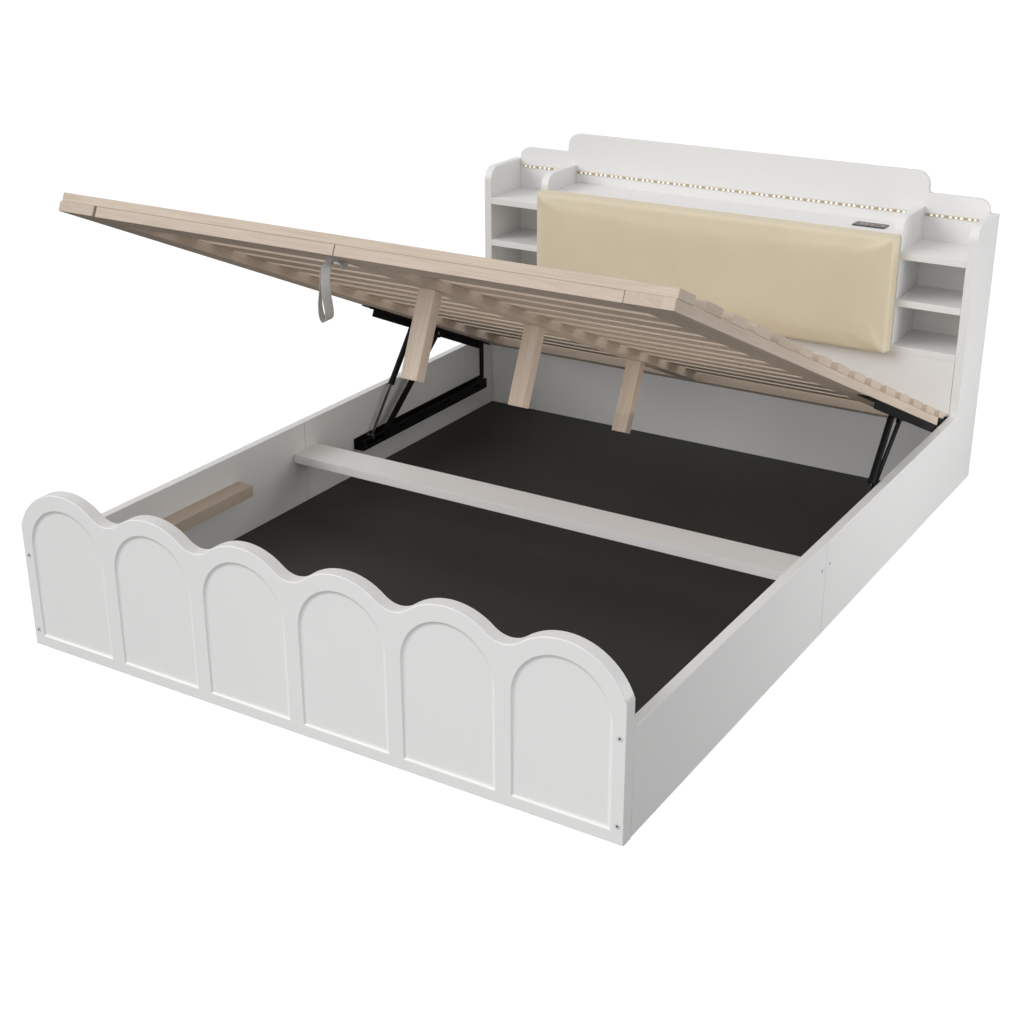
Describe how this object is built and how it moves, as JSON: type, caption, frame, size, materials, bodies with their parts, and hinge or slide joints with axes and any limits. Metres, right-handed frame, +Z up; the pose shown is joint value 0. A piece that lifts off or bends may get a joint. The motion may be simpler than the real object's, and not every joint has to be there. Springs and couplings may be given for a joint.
{
  "type": "ottoman bed",
  "caption": "Ottoman storage bed: box base, hinged slatted frame raised on gas struts, scalloped footboard and shelved headboard with cushion and light strip.",
  "frame": {"origin": "on the floor, at the centre of the bed's plan", "axes": "+Z up, +Y from the footboard towards the headboard, X across the bed"},
  "size_m": [1.612, 2.244, 1.0649],
  "materials": {
    "white_board": "satin",
    "white_bolt_head": "matte",
    "pale_oak": "matte",
    "black_floor_board": "matte",
    "cream_cushion": "satin",
    "light_strip_tape": "satin",
    "light_strip_lamps": "gloss",
    "black_control_panel": "gloss",
    "control_marks": "gloss",
    "black_steel": "satin",
    "zinc_bolt": "satin",
    "strut_rod_steel": "polished",
    "strap_webbing": "woven"
  },
  "bodies": {
    "base": {"footboard": "white_board", "footboard_bolts": "white_bolt_head", "rail_left_front": "white_board", "rail_left_rear": "white_board", "rail_right_front": "white_board", "rail_right_rear": "white_board", "rail_joint_bolts": "white_bolt_head", "crossbeam": "white_board", "batten_left": "pale_oak", "batten_right": "pale_oak", "floor_panel_front": "black_floor_board", "floor_panel_rear": "black_floor_board", "headboard_side_left": "white_board", "headboard_side_right": "white_board", "headboard_divider_left": "white_board", "headboard_divider_right": "white_board", "headboard_back": "white_board", "headboard_lower_panel": "white_board", "headboard_front_panel": "white_board", "headboard_lower_shelf": "white_board", "shelf_left_middle": "white_board", "shelf_left_top": "white_board", "shelf_right_middle": "white_board", "shelf_right_top": "white_board", "centre_shelf": "white_board", "cushion": "cream_cushion", "led_tape": "light_strip_tape", "led_chips": "light_strip_lamps", "control_panel": "black_control_panel", "control_marks": "control_marks", "base_bracket_left": "black_steel", "base_bracket_right": "black_steel", "bracket_screws": "black_steel", "hinge_rivets": "zinc_bolt", "strut_bolts": "zinc_bolt"},
    "lifting_frame": {"side_beam_left": "pale_oak", "side_beam_right": "pale_oak", "foot_beam_left": "pale_oak", "foot_beam_right": "pale_oak", "head_beam": "pale_oak", "centre_beam": "pale_oak", "slats": "pale_oak", "legs": "pale_oak", "top_bar_left": "black_steel", "top_bar_right": "black_steel", "top_bar_screws": "black_steel", "stay_rivets": "zinc_bolt", "pull_strap": "strap_webbing"},
    "stay_left": {"stay_link_left": "black_steel"},
    "stay_right": {"stay_link_right": "black_steel"},
    "tube_left": {"strut_tube_left": "black_steel"},
    "tube_right": {"strut_tube_right": "black_steel"},
    "rod_left": {"strut_rod_left": "strut_rod_steel"},
    "rod_right": {"strut_rod_right": "strut_rod_steel"}
  },
  "joints": [
    {"name": "frame_lift", "type": "hinge", "parent": "base", "child": "lifting_frame", "pos_m": [0, 0.901, 0.244], "axis": [1, 0, 0], "range_deg": [0, 23.9], "stiffness_Nm_per_rad": 250, "springref_deg": -108.86},
    {"name": "stay_left_turn", "type": "hinge", "parent": "lifting_frame", "child": "stay_left", "pos_m": [-0.753, 0.55434, 0.35277], "axis": [1, 0, 0], "range_deg": [-49, 0]},
    {"name": "rod_left_turn", "type": "hinge", "parent": "base", "child": "rod_left", "pos_m": [-0.7655, 0.208, 0.116], "axis": [1, 0, 0], "range_deg": [-27.8, 0]},
    {"name": "tube_left_slide", "type": "slide", "parent": "rod_left", "child": "tube_left", "axis": [0, 0.6266, 0.7794], "range_m": [-0.1468, 0]},
    {"name": "stay_right_turn", "type": "hinge", "parent": "lifting_frame", "child": "stay_right", "pos_m": [0.753, 0.55434, 0.35277], "axis": [1, 0, 0], "range_deg": [-49, 0]},
    {"name": "rod_right_turn", "type": "hinge", "parent": "base", "child": "rod_right", "pos_m": [0.7655, 0.208, 0.116], "axis": [1, 0, 0], "range_deg": [-27.8, 0]},
    {"name": "tube_right_slide", "type": "slide", "parent": "rod_right", "child": "tube_right", "axis": [0, 0.6266, 0.7794], "range_m": [-0.1468, 0]}
  ],
  "couplings": [
    {"joint": "stay_left_turn", "follows": "frame_lift", "ratio": -2.0476},
    {"joint": "rod_left_turn", "follows": "frame_lift", "ratio": -1.1591},
    {"joint": "tube_left_slide", "follows": "frame_lift", "m_per_rad": -0.35141},
    {"joint": "stay_right_turn", "follows": "frame_lift", "ratio": -2.0476},
    {"joint": "rod_right_turn", "follows": "frame_lift", "ratio": -1.1591},
    {"joint": "tube_right_slide", "follows": "frame_lift", "m_per_rad": -0.35141}
  ]
}
